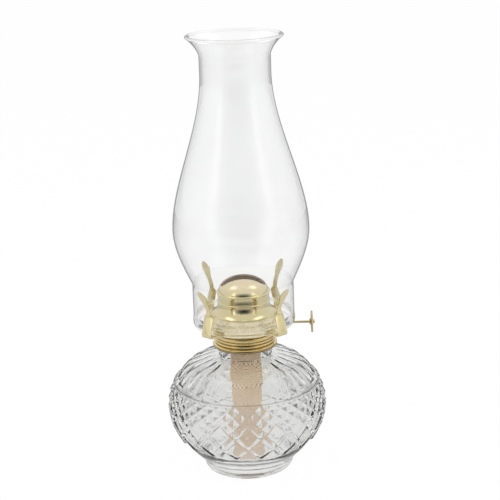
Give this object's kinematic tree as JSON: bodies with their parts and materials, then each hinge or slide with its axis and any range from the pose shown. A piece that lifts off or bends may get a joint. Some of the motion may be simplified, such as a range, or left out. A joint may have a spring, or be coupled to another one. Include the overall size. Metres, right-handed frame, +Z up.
{
  "type": "oil lamp",
  "caption": "Table oil lamp: round pressed-glass font on a foot ring, screw-in flat-wick brass burner with a wick raiser knob, sprung prongs and a bulged clear chimney.",
  "frame": {"origin": "middle of the foot ring, on the surface the lamp stands on", "axes": "+Z up along the lamp's axis, +X out along the wick raiser's shaft to the thumb wheel, -Y the side the picture looks at"},
  "size_m": [0.117, 0.117, 0.3188],
  "materials": {
    "pressed_glass": "clear pressed glass, fire polished",
    "chimney_glass": "clear blown glass",
    "brass": "pale bright brass plate",
    "polished_brass": "polished pale brass",
    "spring_brass": "satin spring brass",
    "tube_brass": "dull unplated brass",
    "shaft_brass": "dull bronze coloured brass",
    "cement": "matt white cement",
    "wick_cotton": "woven cotton"
  },
  "bodies": {
    "font": {"font_glass": "pressed_glass", "collar_cement": "cement", "font_collar": "brass"},
    "screw": {"screw_shell": "brass"},
    "burner": {"burner_cup": "brass", "wick_tube": "tube_brass", "vent_tube": "tube_brass", "ratchet_box": "tube_brass", "shaft_bush": "brass", "prong_ring": "spring_brass", "air_plate": "tube_brass", "gallery_crown": "brass", "dome_deflector": "polished_brass"},
    "winder": {"wick_shaft": "shaft_brass", "spur_wheels": "shaft_brass", "thumb_wheel": "shaft_brass", "shaft_rivet": "shaft_brass"},
    "wick": {"wick": "wick_cotton"},
    "chimney": {"chimney": "chimney_glass"}
  },
  "joints": [
    {"name": "burner_rise", "type": "slide", "parent": "font", "child": "screw", "axis": [0, 0, 1], "range_m": [0, 0.0037]},
    {"name": "burner_unscrew", "type": "hinge", "parent": "screw", "child": "burner", "pos_m": [0, 0, 0.1042], "axis": [0, 0, 1], "range_deg": [0, 720]},
    {"name": "knob_turn", "type": "hinge", "parent": "burner", "child": "winder", "pos_m": [0, 0.0059, 0.1068], "axis": [-1, 0, 0], "range_deg": [0, 150]},
    {"name": "wick_raise", "type": "slide", "parent": "burner", "child": "wick", "axis": [0, 0, 1], "range_m": [0, 0.0125]},
    {"name": "chimney_lift", "type": "slide", "parent": "burner", "child": "chimney", "axis": [0, 0, 1], "range_m": [0, 0.06]}
  ],
  "couplings": [
    {"joint": "burner_rise", "follows": "burner_unscrew", "m_per_rad": 0.00028648},
    {"joint": "wick_raise", "follows": "knob_turn", "m_per_rad": 0.0047}
  ]
}
